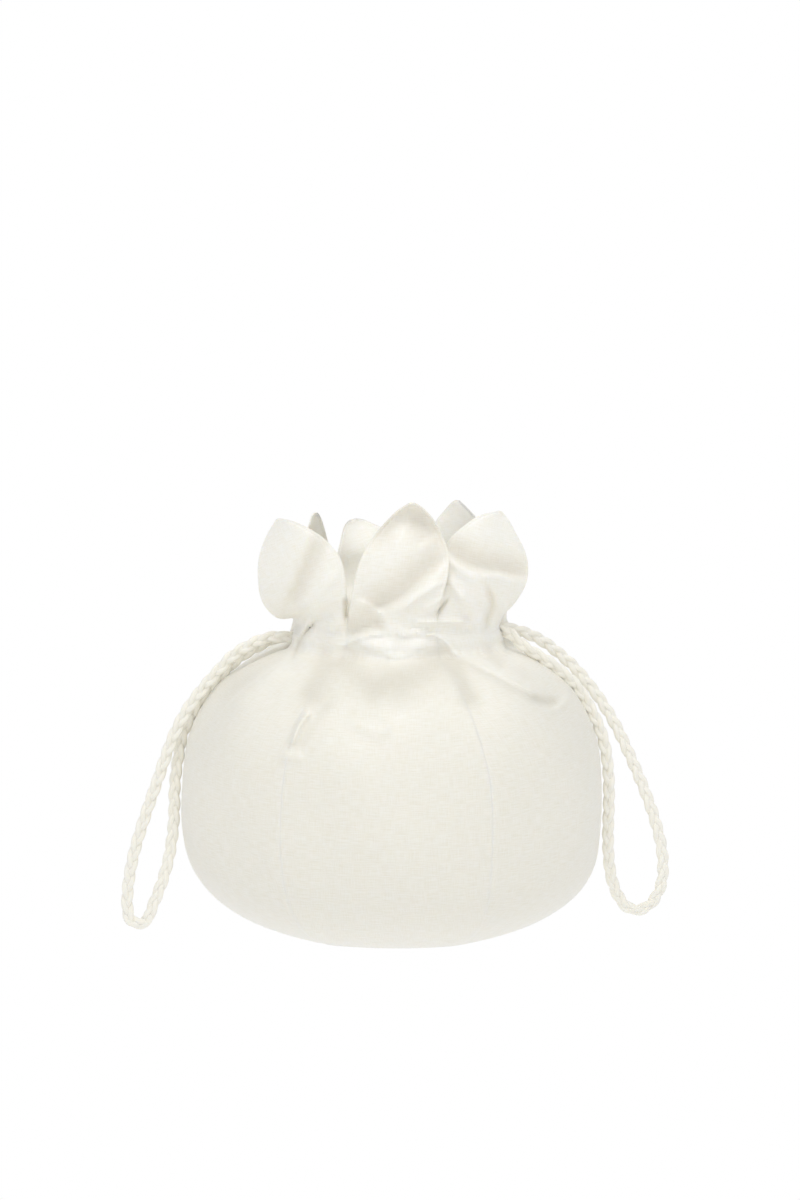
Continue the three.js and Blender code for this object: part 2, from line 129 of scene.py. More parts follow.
RIGHT_LOOP = [
    (53.1, -6.8, 152.6), (58, -6.4, 152.4), (63, -4.6, 151.2), (68.4, -1.6, 149),
    (73.6, 1.4, 146.2), (79, 4, 142.4), (85.2, 6, 137.2), (92, 7.4, 130.8),
    (98.4, 8.2, 123.2), (104, 8.8, 115.8), (109.6, 9.4, 107), (114.8, 9.8, 97.4),
    (119.8, 10, 86.6), (124.6, 10.2, 75.6), (129, 10.2, 64.6), (132.8, 10.2, 53.6),
    (135.8, 10.2, 42.6), (137.4, 10.2, 31.4), (137, 10.2, 21), (134, 10.2, 12.8),
    (129.6, 10.2, 7.8), (124.4, 10.2, 6), (119.2, 10, 7.8), (115.4, 9.6, 12.4),
    (112.4, 9, 19), (110.4, 8, 27.6), (109.4, 6.6, 38.4), (109.2, 5, 50),
    (109.4, 3.4, 62), (109.2, 1.8, 73.4), (108.4, 0.2, 83), (106.8, -1.2, 92.6),
    (104, -2.8, 102), (99.6, -4.6, 111.4), (94.4, -6.8, 120.6), (91.4, -8, 124.8),
    (87.4, -9.4, 128.6), (79.8, -12, 135.2), (72.2, -13.8, 140.4), (65.8, -14.8, 144.4),
    (61.4, -14.8, 148.4), (57.4, -13.8, 151.6), (52, -12.2, 152.6),
]


def polar(azimuth, radius, height, shift):
    """Points at an azimuth in degrees from the front, a distance from the axis and a height."""
    angle = np.radians(azimuth)
    x = shift + radius * np.sin(angle)
    y = -radius * np.cos(angle)
    return np.stack(np.broadcast_arrays(x, y, np.asarray(height, float)), axis=-1)


def drawstring_route(loop, slit):
    """The loop's points, then one turn round the neck and back to the loop's start."""
    neck, level = slit
    angle = math.radians(neck)
    outward = np.array((math.sin(angle), -math.cos(angle), 0))
    sideways = np.array((math.cos(angle), math.sin(angle), 0))
    centre = np.array((NECK_SHIFT, 0, level))
    turn_centre = CORD_PAIR_HALF + CORD_TURN_RADIUS
    start = math.hypot(loop[0][0] - NECK_SHIFT, loop[0][1])

    def turn(degrees, way):
        out = start - CORD_END_GAP - CORD_TURN_RADIUS * math.sin(math.radians(degrees))
        aside = turn_centre - CORD_TURN_RADIUS * math.cos(math.radians(degrees))
        return centre + out * outward + way * aside * sideways

    first = math.degrees(turn_centre / CORD_RUN_RADIUS) + 1
    around = neck - np.linspace(first, 360 - first, CORD_RUN_STATIONS + 1)
    run = polar(around, CORD_RUN_RADIUS, level, NECK_SHIFT)
    ends_in = [turn(35, -1), turn(65, -1)]
    ends_out = [turn(65, 1), turn(35, 1), turn(0, 1)]
    return np.vstack([np.array(loop, float), ends_in, run, ends_out])


def smooth_line(points, step):
    """Even stations, a step apart, along one smooth curve through the points."""
    p = np.asarray(points, float)
    p = np.vstack([2 * p[:1] - p[1:2], p, 2 * p[-1:] - p[-2:-1]])
    t = np.linspace(0, 1, 24, endpoint=False)[:, None]
    spans = []
    for a, b, c, d in zip(p, p[1:], p[2:], p[3:]):
        bend = (2 * a - 5 * b + 4 * c - d) * t**2 + (3 * b - a - 3 * c + d) * t**3
        spans.append(b + 0.5 * ((c - a) * t + bend))
    fine = np.vstack(spans + [p[-2:-1]])
    run = np.concatenate([[0], np.cumsum(np.linalg.norm(np.diff(fine, axis=0), axis=1))])
    at = np.linspace(0, run[-1], int(round(run[-1] / step)) + 1)
    return np.column_stack([np.interp(at, run, fine[:, k]) for k in range(fine.shape[1])])


STATION_STEP = 0.9
routes = {}
for side, loop, slit in (("left", LEFT_LOOP, LEFT_SLIT), ("right", RIGHT_LOOP, RIGHT_SLIT)):
    routes[side] = smooth_line(drawstring_route(loop, slit), STATION_STEP)
    print(side, "drawstring is", round(STATION_STEP * (len(routes[side]) - 1)), "mm long")

# %% [markdown]
# Sweeping the three strips.
# A section is carried along the route without twist, by taking away at each station what has turned
# into the new direction. The strips are a little flatter than round, because satin folded into a
# strip is soft, and each one gets a UV map in metres: round the strip and along it.

# %% Plait the drawstrings
PLAIT_LENGTH = 24.0
PLAIT_SWING = 1.6
PLAIT_LIFT = 0.72
STRIP_HALF_WIDTH = 1.5
STRIP_HALF_THICKNESS = 1.25
STRIP_SIDES = 12
STRIP_FULLNESS = 0.8
STRIPS = 3


def carried_frame(line):
    """Side and lift at each station: the side starts upright and is carried on without twist."""
    along = np.gradient(line, axis=0)
    along /= np.linalg.norm(along, axis=1)[:, None]
    side = np.array((0.0, 0.0, 1.0))
    sides = np.zeros_like(line)
    for i, direction in enumerate(along):
        side = side - direction * (side @ direction)
        side /= np.linalg.norm(side)
        sides[i] = side
    return sides, np.cross(along, sides)


def strip_tube(line):
    """Grid of points on one oval strip along a line, as stations by corners."""
    sides, lifts = carried_frame(line)
    angle = 2 * np.pi * np.arange(STRIP_SIDES) / STRIP_SIDES
    across = STRIP_HALF_WIDTH * np.sign(np.cos(angle)) * np.abs(np.cos(angle)) ** STRIP_FULLNESS
    up = STRIP_HALF_THICKNESS * np.sign(np.sin(angle)) * np.abs(np.sin(angle)) ** STRIP_FULLNESS
    ring = sides[:, None] * across[None, :, None] + lifts[:, None] * up[None, :, None]
    return line[:, None] + ring


def grid_faces(rows, columns, closed, start=0):
    """Quads between the points of a grid; closed joins its last column to its first."""
    faces = []
    width = columns if closed else columns - 1
    for row in range(rows - 1):
        for column in range(width):
            after = (column + 1) % columns
            low = start + row * columns
            faces.append((low + column, low + after, low + columns + after, low + columns + column))
    return faces


def new_piece(name, points, faces, uv):
    """A smooth mesh from points in millimetres, with a UV map given for each point in metres."""
    mesh = bpy.data.meshes.new(name)
    mesh.from_pydata((np.asarray(points) * MM).tolist(), [], faces)
    layer = mesh.uv_layers.new(name="cloth")
    corners = np.zeros(len(mesh.loops), int)
    mesh.loops.foreach_get("vertex_index", corners)
    layer.data.foreach_set("uv", np.asarray(uv, float)[corners].ravel())
    mesh.shade_smooth()
    piece = bpy.data.objects.new(name, mesh)
    bpy.context.scene.collection.objects.link(piece)
    return piece


def plait(name, route):
    """Three strips plaited along a route, as one piece."""
    run = STATION_STEP * np.arange(len(route))
    sides, lifts = carried_frame(route)
    points = []
    faces = []
    uv = []
    for strip in range(STRIPS):
        swing = 2 * np.pi * (run / PLAIT_LENGTH + strip / STRIPS)
        offset = sides * (PLAIT_SWING * np.sin(swing))[:, None]
        offset = offset + lifts * (PLAIT_LIFT * np.sin(2 * swing))[:, None]
        grid = strip_tube(route + offset)
        start = len(points) * grid.shape[0] * STRIP_SIDES
        faces += grid_faces(grid.shape[0], STRIP_SIDES, True, start)
        last = start + (grid.shape[0] - 1) * STRIP_SIDES
        faces.append(tuple(start + k for k in reversed(range(STRIP_SIDES))))
        faces.append(tuple(last + k for k in range(STRIP_SIDES)))
        girth = 2 * np.pi * STRIP_HALF_WIDTH * np.arange(STRIP_SIDES) / STRIP_SIDES
        uv.append(np.stack(np.broadcast_arrays(girth[None], run[:, None]), axis=-1).reshape(-1, 2) * MM)
        points.append(grid.reshape(-1, 3))
    return new_piece(name, np.vstack(points), faces, np.vstack(uv))


braids = {side: plait(f"braid_{side}", routes[side]) for side in routes}
for side, braid in braids.items():
    print(braid.name, "has", len(braid.data.polygons), "faces")

# %% [markdown]
# The cloth: where it lies.
# A gore runs from the middle of the base up to the point of its petal. Its shape could be simulated
# from flat cloth, but then the folds would fall where the solver puts them. Here the photograph
# decides, so the cloth is lofted: a table of levels gives the bag's outline, the seams give the edges
# of each gore, and every petal has its own pose. The seams and levels are the numbers of the CAD
# part. The petals stand close to the CAD's, and their edges follow the photograph's outlines.

# %% Seams, levels and petals
# seam: azimuth on the body, azimuth at the neck, height of the notch between two petals
SEAMS = np.array([
    (-90, -90, 157.4), (-30, -29, 164.5), (27, 21, 164.5), (90, 79, 158.6),
    (150, 162, 162), (210, 222, 162), (270, 270, 157.4),
], float)
# level: height, radius, shift to the right, sink of a gore's middle, depth of gather, share of the
# way that the seams have moved to the neck's spacing
LEVELS = np.array([
    (0, 1.2, 0, 0, 0, 0), (0, 51, 2, 1.5, 0, 0), (3.4, 67.5, 1.8, 3, 0, 0),
    (9.6, 82.2, 1.4, 3.4, 0, 0), (19, 94, 1.2, 3, 0, 0), (31, 101.4, 0.8, 2, 0, 0),
    (50, 105.6, 0.2, 1.2, 0, 0), (75, 105.8, 0, 0.6, 0, 0), (97, 102.4, 0, 0.2, 0.04, 0.1),
    (112, 95.8, 0.5, 0, 0.12, 0.3), (123, 88.4, 1.2, 0, 0.26, 0.5), (131.5, 79.5, 2, 0, 0.46, 0.7),
    (138, 69.5, 2.8, 0, 0.72, 0.87), (141.5, 61.5, 3.2, 0, 0.92, 0.96), (144.2, 55, 3.5, 0, 1, 1),
    (147, 53.2, 3.5, 0, 1, 1), (149.8, 53.2, 3.5, 0, 1, 1), (152.6, 52.6, 3.5, 0, 1, 1),
    (155.4, 51.4, 3.5, 0, 1, 1),
], float)
# petal: azimuth of its point, share of its height over which it opens, lean where it has opened, lean
# at its point, extra lean of its first and last edge, turn of those edges at half height in degrees,
# curl of its point
PETAL_COLUMNS = ("tip", "opens", "middle", "outward", "first", "last", "turn_first", "turn_last", "curl")
PETALS = {
    "front_left": (-62, 0.32, 12, 15, 3, -8, 18, 11, 0),
    "front": (7, 0.45, 7, 4, 1, 3, 4, 4, 9),
    "front_right": (55, 0.5, 8, 7, -7, 4, 0, -14, -3),
    "back_right": (146, 0.45, 10, 18, 0, 0, 0, 0, 0),
    "back": (204, 0.45, 12, 26, 0, 0, 0, 0, 0),
    "back_left": (262, 0.45, 4, -4, 0, 0, 0, 0, 0),
}
# pixels along the petal's first edge and its last, from the notches up, and then its point
PETAL_EDGES = {
    "front_left": (
        [(282, 619.5), (269, 612), (260, 596), (257.5, 572), (260, 552), (267, 534)],
        [(346.5, 600), (346, 583), (343, 565), (336, 551), (318, 534), (296, 522)], (277, 517.5)),
    "front": (
        [(351, 597), (354, 581), (359, 563), (367, 546), (380, 529), (395, 514)],
        [(443, 595), (448, 575), (448.5, 553), (442, 536), (432, 519), (421, 508)], (411.5, 503)),
    "front_right": (
        [(440, 598), (441, 578), (442, 556), (448.5, 540), (463.5, 526), (480.5, 515)],
        [(513.5, 605), (525, 587), (528.5, 569), (525, 551), (516, 533), (509, 520)], (501, 510)),
    "back_right": (
        [(509, 590), (506, 560), (496, 537), (486, 526), (477, 517), (467, 507)],
        [(424, 572), (426, 545), (436, 523), (442, 515), (448, 508), (453, 503)], (459, 500)),
    "back": (
        [(428, 570), (418, 550), (402, 538), (388, 531), (374, 525), (362, 520)],
        [(331, 578), (335, 560), (339, 546), (341, 537), (343, 529), (346, 523)], (351, 519)),
    "back_left": (
        [(334, 575), (332, 557), (327, 542), (324, 531), (321, 521), (318, 514)],
        [(285, 592), (288, 565), (297, 547), (303, 536), (308, 525), (311, 516)], (315, 511)),
}
GORES = list(PETALS)
NOTCH_RADIUS = 52
PETAL_WIDEST = 0.3
PETAL_FULLNESS = 2.4
PETAL_END = 0.985
# how a petal opens, turns towards its point and curls, and how its gathers fade
OPENING_POWER = 0.65
TURN_POWER = 2.5
CURL_FROM = 0.68
CURL_POWER = 1.6
PETAL_GATHER = 0.85
GATHER_FADE = 4
# half-width and half-height of a slit, and how far beside it the cloth is drawn aside
SLIT_HALF = 6.0
SLIT_REACH = 3.5
SLIT_SPREAD = 20.0
SLIT_FALL = 1.5
SLIT_COLUMN = 12
# seams with a slit, and the slit's height
SLITS = {0: LEFT_SLIT[1], 3: RIGHT_SLIT[1], 6: LEFT_SLIT[1]}
print(len(GORES), "gores:", ", ".join(GORES))

# %% [markdown]
# The cloth: a fine grid.
# Rows are close together at the neck and in the petals, where the folds are, and wide apart on the
# smooth base. Columns are close together at the two edges, so that a seam or a turned petal edge can
# be shaped within two millimetres. The level table is read with a smooth curve through its rows.

# %% Rows, columns and the plain surface
GATHERS = 3
GATHER_DEPTH = 2.9
GATHER_UNEVEN = 0.05
BASE_ROWS = 14
SHOULDER_LEVEL = 8
SIDE_STEP = 2.4
NECK_STEP = 0.65
COLUMN_EDGE = (0, 0.35, 0.8, 1.4, 2.1, 3.0)
COLUMN_COUNT = 108
EDGE_SPAN = 100.0


def smoothstep(value, low, high):
    """Soft step from 0 at low to 1 at high, where low may also be the larger number."""
    t = np.clip((np.asarray(value, float) - low) / (high - low), 0, 1)
    return t * t * (3 - 2 * t)


def mix(a, b, t):
    """Share t of the way from a to b."""
    return a + (b - a) * t


def columns_across():
    """Places across a gore from -1 to 1, crowded at both edges."""
    edge = np.array(COLUMN_EDGE) * 2 / EDGE_SPAN
    middle = np.linspace(-1 + edge[-1], 1 - edge[-1], COLUMN_COUNT)
    return np.concatenate([-1 + edge[:-1], middle, (1 - edge[:-1])[::-1]])


def body_levels():
    """The level table on fine rows, through a smooth curve."""
    step = np.linalg.norm(np.diff(LEVELS[:, :2], axis=0), axis=1)
    run = np.concatenate([[0], np.cumsum(step)])
    flat = np.linspace(0, run[1], BASE_ROWS, endpoint=False)
    side = np.arange(run[1], run[SHOULDER_LEVEL], SIDE_STEP)
    shoulder = np.arange(run[SHOULDER_LEVEL], run[-1], NECK_STEP)
    at = np.concatenate([flat, side, shoulder, run[-1:]])
    slope = np.gradient(LEVELS, run, axis=0)
    slope[:2, 0] = 0
    low = np.clip(np.searchsorted(run, at, side="right") - 1, 0, len(run) - 2)
    span = (run[low + 1] - run[low])[:, None]
    t = ((at - run[low])[:, None]) / span
    start, end = LEVELS[low], LEVELS[low + 1]
    pull = slope[low] * span
    push = slope[low + 1] * span
    fine = start * (1 + 2 * t) * (1 - t) ** 2 + pull * t * (1 - t) ** 2
    fine = fine + end * t**2 * (3 - 2 * t) + push * t**2 * (t - 1)
    fine[:, 0] = np.maximum(fine[:, 0], 0)
    fine[:, 4:] = np.clip(fine[:, 4:], 0, 1)
    return fine


def gather_wave(gore, across):
    """Soft uneven gathers, three to a gore, with a valley at each seam."""
    place = (across + 1) / 2
    uneven = place + GATHER_UNEVEN * np.sin(2 * np.pi * place) * math.cos(2.1 * gore)
    return -np.cos(2 * np.pi * GATHERS * uneven)


def body_surface(gore, across, levels, depth):
    """Outer face of the body and neck on a grid of rows and columns."""
    height, radius, shift, sink, gather, moved = (levels[:, k][:, None] for k in range(6))
    low, high = SEAMS[gore], SEAMS[gore + 1]
    place = (across + 1) / 2
    azimuth = mix(mix(low[0], high[0], place), mix(low[1], high[1], place), moved)
    reach = radius - sink * (1 - across**2) + depth * gather * gather_wave(gore, across)
    return polar(azimuth, reach, height + 0 * across, shift)


def edge_line(notch, points, point, share):
    """Pixels of a petal's edge at shares of its length from the notch to the petal's point."""
    line = smooth_line([notch, *points, point], 0.5)
    at = share * (len(line) - 1)
    return np.column_stack([np.interp(at, np.arange(len(line)), line[:, k]) for k in (0, 1)])


def petal_surface(gore, across, share, depth):
    """Outer face of a petal: share runs from 0 at its notches to 1 at its point."""
    petal = dict(zip(PETAL_COLUMNS, PETALS[GORES[gore]]))
    low, high = SEAMS[gore], SEAMS[gore + 1]
    up = share[:, None]
    place = (across + 1) / 2
    past = np.maximum(0, (up - PETAL_WIDEST) / (1 - PETAL_WIDEST))
    opened = np.sin(np.pi / 2 * np.minimum(1, up / petal["opens"]) ** OPENING_POWER)
    lean = petal["middle"] * opened
    lean = lean + (petal["outward"] - petal["middle"]) * smoothstep(up, petal["opens"], 1)
    lean = lean + np.where(across < 0, petal["first"], petal["last"]) * across**2 * opened * (1 - past**2)
    lean = lean + petal["curl"] * np.maximum(0, (up - CURL_FROM) / (1 - CURL_FROM)) ** CURL_POWER
    pleat = depth * PETAL_GATHER * (1 - up) ** GATHER_FADE * gather_wave(gore, across)
    centre = mix((low[1] + high[1]) / 2, petal["tip"], up**TURN_POWER)
    azimuth = centre + across * (high[1] - low[1]) / 2 * (1 - past**PETAL_FULLNESS)
    azimuth = azimuth + mix(petal["turn_first"], petal["turn_last"], place) * np.sin(np.pi * up)
    y = -(NOTCH_RADIUS + lean + pleat) * np.cos(np.radians(azimuth))

    notch_height = mix(low[2], high[2], place)
    notch = to_photo(polar(mix(low[1], high[1], place), NOTCH_RADIUS + pleat[0], notch_height, NECK_SHIFT))
    first_points, last_points, point = PETAL_EDGES[GORES[gore]]
    first = edge_line(notch[0], first_points, point, share)
    last = edge_line(notch[-1], last_points, point, share)
    bow = notch - mix(notch[0], notch[-1], place[:, None])
    pixels = mix(first[:, None], last[:, None], place[:, None]) + bow * (1 - up[..., None]) ** 2
    return from_photo(pixels, y)


across_line = columns_across()
level_rows = body_levels()
petal_rows = np.concatenate([np.linspace(0, 0.9, 60), np.linspace(0.912, PETAL_END, 9)])
print("grid of", len(level_rows) + len(petal_rows), "rows by", len(across_line), "columns")

# %% [markdown]
# The folds.
# Gathered satin breaks into a few large soft folds and some sharp tucks. Each fold that the
# photograph shows is a line drawn on it, in its pixels, with a height in millimetres at its middle
# and a width to either side: a narrow width makes the steep side of a tuck, a wide one its soft side.
# The camera's own numbers carry the lines to the cloth, which is moved towards the camera for a ridge
# and away from it for a valley. So a fold stays under its line, and is a real shape from every side.
# From the casing down the cloth is held taut, and its valleys are shallower there. Folds at the back
# are given by azimuth and height, and move the cloth along its normal.

# %% Folds of the front, measured on the photograph
# line of pixels, height in mm, width to its left in pixels, width to its right, sharpness
NECK_FOLDS = [
    ([(342, 600), (324, 605), (309, 619), (299, 631), (294, 642), (289, 656)], 2.0, 5, 9, 2),
    ([(319, 620), (309, 629), (302, 638), (297, 648), (292, 661)], -5.2, 2.2, 2.2, 1.6),
    ([(343, 622), (324, 622), (313, 629), (305, 640), (299, 650)], 2.2, 8, 4, 1.8),
    ([(346, 596), (346, 622)], -3.8, 2.2, 2.2, 1.6),
    ([(449, 598), (442, 606), (437, 613), (437, 618)], -2.8, 2.2, 2.2, 1.6),
    ([(352, 602), (362, 603), (371, 607), (381, 615), (388, 626)], 2.4, 3.4, 4.4, 1.8),
    ([(342, 634), (352, 632), (366, 627), (378, 625), (388, 627)], -4.6, 14, 4, 2),
    ([(335, 643), (346, 645), (352, 641), (366, 636), (383, 633), (393, 629)], 1.8, 2.2, 2.6, 1.7),
    ([(350, 639), (364, 644), (382, 651), (400, 657), (418, 651), (446, 637)], 2.7, 10, 6.5, 2),
    ([(399, 626), (423, 624), (440, 621.5), (455, 621), (470, 624), (483, 627)], 2.8, 4, 2.4, 1.7),
    ([(404, 629.5), (420, 629.5), (436, 630.5)], -2.6, 2, 2, 1.7),
    ([(390, 629), (402, 634), (418, 632.5), (435, 635.5), (443, 641)], 2.5, 2.4, 2.6, 1.7),
    ([(436, 634), (445, 642), (455, 653), (462, 658)], 2.6, 2.6, 3, 1.7),
    ([(452, 655), (476, 668), (499, 679.5), (520, 691), (538, 700), (560, 703)], -3.6, 3, 5, 1.7),
    ([(467, 654), (490, 670), (511, 682), (530, 690), (550, 693)], 2.2, 12, 5, 2),
    ([(466, 644), (492, 660), (514, 672), (544, 684)], -2.2, 13, 10, 2),
    ([(530, 696), (562, 701)], -4.0, 5, 6, 2),
    ([(546, 710), (561, 706), (569, 696), (565, 680)], 1.6, 4, 4, 2),
    ([(450, 654), (458, 672), (467, 690), (477, 711)], -4.8, 9, 9, 2),
    ([(330, 646), (320, 670), (310, 690), (298, 706)], -4.6, 18, 10, 2),
    ([(314, 706), (301, 722), (293, 738), (287, 748)], 2.6, 4, 4, 2),
    ([(338, 690), (328, 703), (313, 722), (303, 738), (297, 746), (286, 751)], -1.8, 8, 4, 1.9),
    ([(280, 752), (290, 758), (304, 754)], 1.4, 6, 5, 2),
    ([(457, 646), (432, 665), (408, 677), (378, 690)], -5.4, 17, 19, 2),
    ([(336, 650), (353, 670), (370, 683), (392, 695)], -4.6, 19, 15, 2),
    ([(346, 714), (368, 725), (392, 734)], 1.2, 11, 11, 2),
    ([(296, 648), (272, 661), (250, 676), (228, 692), (214, 706)], -2.2, 6, 12, 2),
    ([(290, 660), (258, 684), (224, 710)], 2.4, 12, 4, 2),
    ([(486, 652), (496, 660), (506, 670)], -2.4, 6, 6, 2),
    ([(455, 587), (469, 607), (480, 624), (483, 636)], 2.4, 6, 7, 2),
    ([(485, 582), (492, 603), (487, 619), (484, 636)], -3.2, 3.5, 3, 1.8),
    ([(497, 596), (503, 614), (497, 632)], 2.2, 5, 5, 2),
]
PETAL_FOLDS = {
    "front_left": [
        ([(322, 528), (316, 548), (306, 570), (297, 590), (286, 612)], -4.0, 11, 8, 2),
        ([(340, 572), (326, 586), (312, 602), (300, 616)], 1.6, 7, 7, 2),
    ],
    "front": [
        ([(452, 546), (432, 565), (413, 582), (392, 599), (354, 612)], -4.8, 7, 17, 2),
        ([(444, 581), (423, 594), (409, 604), (404, 613), (406, 622)], 2.0, 3, 4, 1.8),
        ([(446, 597), (432, 605), (420, 612)], 1.4, 3, 3, 1.8),
        ([(366, 556), (384, 531), (397, 518), (411, 511), (424, 520), (436, 534), (446, 556)],
         -4.6, 10, 11, 2),
        ([(408, 514), (416, 530), (428, 546)], -2.4, 13, 13, 2),
    ],
    "front_right": [
        ([(438, 541), (464, 560), (484, 567), (504, 570), (538, 577)], -4.8, 16, 5, 2),
        ([(451, 561), (464, 573), (478, 580)], 1.4, 3, 4, 1.8),
        ([(480, 580), (491, 575), (504, 577), (516, 586)], 1.6, 3, 6, 1.8),
        ([(447, 576), (458, 592), (470, 608)], 2.0, 5, 5, 2),
    ],
}
# azimuth at the top and at the end, height at the top and at the end, height and half-width in mm
BACK_FOLDS = [
    (112, 104, 147, 108, -3.4, 7), (124, 116, 146, 116, 1.8, 6), (136, 138, 147, 100, -3.6, 8),
    (156, 150, 145, 112, 1.6, 7), (170, 172, 147, 96, -3.8, 8), (184, 190, 146, 118, 1.8, 6),
    (196, 204, 147, 106, -3.2, 7), (214, 216, 146, 114, 1.6, 7), (228, 232, 147, 98, -3.6, 8),
    (244, 246, 145, 116, 1.6, 6), (256, 252, 147, 110, -3.0, 7), (98, 92, 146, 118, -2.4, 6),
    (272, 268, 147, 126, -3.0, 8),
]
# step along a drawn line in pixels, reach of a fold in widths, share of its length over which each
# end fades, and share of its height that is left there
FOLD_STEP = 1.5
FOLD_REACH = 3
FADE = 0.25
END_SHARE = 0.15


def fold_profile(distance, width, sharpness=2):
    """Share of its full height that a fold has at a distance from its line."""
    return np.exp(-np.abs(distance / width) ** sharpness)


def line_heights(pixels, folds):
    """Summed height of the drawn folds at each pixel."""
    total = np.zeros(len(pixels))
    for line, height, left, right, sharpness in folds:
        path = smooth_line(line, FOLD_STEP) if len(line) > 2 else np.array(line, float)
        run = np.concatenate([[0], np.cumsum(np.linalg.norm(np.diff(path, axis=0), axis=1))])
        reach = FOLD_REACH * max(left, right)
        inside = ((pixels > path.min(axis=0) - reach) & (pixels < path.max(axis=0) + reach)).all(axis=1)
        near = pixels[inside]
        nearest = np.full(len(near), np.inf)
        side = np.zeros(len(near))
        place = np.zeros(len(near))
        for i, (a, b) in enumerate(zip(path, path[1:])):
            along = b - a
            length = np.linalg.norm(along)
            offset = near - a
            t = np.clip(offset @ along / length**2, 0, 1)
            gap = np.linalg.norm(offset - t[:, None] * along, axis=1)
            closer = gap < nearest
            nearest[closer] = gap[closer]
            turn = along[0] * offset[:, 1] - along[1] * offset[:, 0]
            side[closer] = turn[closer]
            place[closer] = (run[i] + t * length)[closer] / run[-1]
        width = np.where(side > 0, right, left)
        ends = smoothstep(place, -0.02, FADE) * (1 - smoothstep(place, 1 - FADE, 1.02))
        kept = mix(END_SHARE, 1, ends)
        total[inside] += height * kept * fold_profile(nearest, width, sharpness)
    return total


def back_heights(points):
    """Summed height of the folds that are given by azimuth and height."""
    azimuth = np.degrees(np.arctan2(points[:, 0] - NECK_SHIFT, -points[:, 1]))
    radius = np.hypot(points[:, 0] - NECK_SHIFT, points[:, 1])
    total = np.zeros(len(points))
    for start, end, top, bottom, height, half in BACK_FOLDS:
        down = (top - points[:, 2]) / (top - bottom)
        middle = mix(start, end, np.clip(down, -0.4, 1))
        turn = (azimuth - middle + 180) % 360 - 180
        gap = np.radians(turn) * radius
        spread = half * (0.6 + 0.7 * np.clip(down, 0, 1))
        along = smoothstep(down, -0.35, 0.2) * (1 - smoothstep(down, 0.35, 1))
        total += height * along * fold_profile(gap, spread)
    return total


print(len(NECK_FOLDS), "folds at the neck,", sum(map(len, PETAL_FOLDS.values())), "in the petals")

# %% [markdown]
# Sewing details.
# A seam pulls the cloth into a narrow groove about a fifth of a millimetre deep, and along it the colour
# is a little whiter: partly the doubled cloth of its allowance, partly a painted highlight. The petals
# are sewn to their lining and turned, which leaves a rolled edge with a shallow groove 1.8 mm inside it.
# The two rows of stitches that hold the casing draw the neck into small puckers. Two colour masks go
# with the shape: painted shade, from the depth of the folds and along the petals' rims, and a whiter
# colour from the shoulder up, partly for the lining and partly painted light.

# %% Shape, sew and thicken a gore
CLOTH = 0.8
SEAM_DEPTH = 0.22
SEAM_WIDTH = 1.1
EDGE_ROLL = 0.1
ROLL_WIDTH = 0.5
EDGE_GROOVE = 0.22
GROOVE_INSET = 1.8
GROOVE_WIDTH = 0.7
STITCH_LEVELS = (145.2, 156.6)
STITCH_DEPTH = 0.05
STITCH_WIDTH = 0.9
PUCKER_DEPTH = 0.1
PUCKER_WIDTH = 3.2
FRONT_GATHER = 0.12
BACK_GATHER = 0.75
SLACK_DEPTH = 0.45
NECK_CLEAR = 47.4
FACING_MIN = 0.85
HELD_SHARE = 0.4
# depth of a fold at which the painted shade is full, and strength and width of the painted shade along a
# petal's rim
PAINTED_SHADE_DEPTH = 5.6
RIM_PAINTED_SHADE = 0.6
RIM_WIDTH = 0.6
# strength and width of the whiter seam line: partly the doubled allowance, partly a painted highlight
SEAM_ALLOWANCE_AND_HIGHLIGHT = 0.6
SEAM_LINE = 0.7
EDGE_ANGLE = math.radians(65)
GORE_UV_STEP = 150
# rows that are evened out at the foot of a petal, and rows over which its own folds begin
JOINT_PASSES = 6
JOINT_FADE = (10, 3)
PETAL_BLEND = 6
# outer edges of the front, towards which the drawn folds fade
OUTER_EDGES = {"front_left": -1, "front_right": 1}
OUTER_FADE = 0.88
# heights in mm over which something fades in, from none to all, and the same in Y for the back folds
BASE_FADE = (1, 5)
SEAM_FADE = (112, 96)
HELD_FADE = (157, 146)
# heights over which the cloth turns whiter from the shoulder up: partly the petals' lining, partly painted
# light
LINED_AND_PAINTED_LIGHT_FADE = (128, 150)
NECK_FADES = ((139, 142), (161, 158))
SLACK_FADES = ((12, 60), (150, 120))
BACK_FADE = (-30, 0)


def grid_normals(grid):
    """Outward unit normals of a grid of points."""
    up = np.gradient(grid, axis=0)
    sideways = np.gradient(grid, axis=1)
    normal = np.cross(sideways, up)
    length = np.linalg.norm(normal, axis=2, keepdims=True)
    return normal / np.maximum(length, 1e-9)


def puckers(points):
    """Small ruffles along the stitched rows of the casing."""
    azimuth = np.arctan2(points[..., 0] - NECK_SHIFT, -points[..., 1])
    ruffle = np.sin(61 * azimuth + 1.3 * np.sin(7 * azimuth)) + 0.6 * np.sin(89 * azimuth + 2)
    near = sum(fold_profile(points[..., 2] - level, PUCKER_WIDTH) for level in STITCH_LEVELS)
    line = sum(fold_profile(points[..., 2] - level, STITCH_WIDTH) for level in STITCH_LEVELS)
    return PUCKER_DEPTH * ruffle * near - STITCH_DEPTH * line


def slack(points):
    """Broad shallow waves of cloth that is only filled out, not stretched."""
    azimuth = np.arctan2(points[..., 0], -points[..., 1])
    level = points[..., 2] / 60
    wave = np.sin(5 * azimuth + 2.2 * level + 0.6) + np.sin(8 * azimuth - 3.1 * level + 2)
    wave = wave + np.sin(11 * azimuth + 4 * level + 4)
    low, high = (smoothstep(points[..., 2], *fade) for fade in SLACK_FADES)
    return SLACK_DEPTH * wave * low * high


